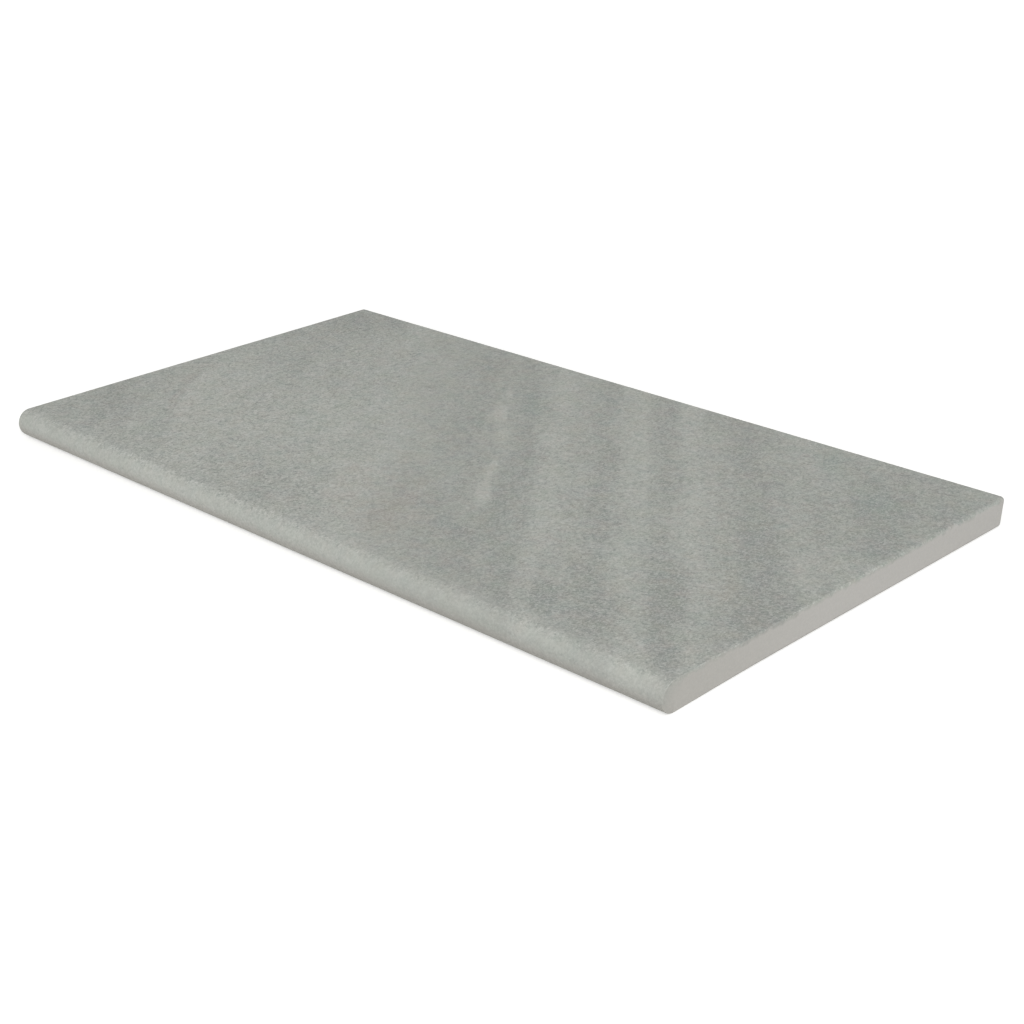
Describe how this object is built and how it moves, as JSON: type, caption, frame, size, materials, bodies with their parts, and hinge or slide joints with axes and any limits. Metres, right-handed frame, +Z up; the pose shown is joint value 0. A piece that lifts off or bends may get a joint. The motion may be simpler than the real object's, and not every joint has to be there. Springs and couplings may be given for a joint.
{
  "type": "porcelain pool coping",
  "caption": "Flat stone-look porcelain coping tile with a full half-round nose along one long edge, plain drafted sides and a keyed underside.",
  "frame": {"origin": "under the middle of the tile, on the level that it lies on", "axes": "+X along the pool's edge, -Y out over the water on the nose's side, +Z up through the walking face"},
  "size_m": [0.6, 0.33, 0.02],
  "materials": {
    "porcelain": "matte"
  },
  "bodies": {
    "root": {"coping_tile": "porcelain"}
  },
  "joints": []
}
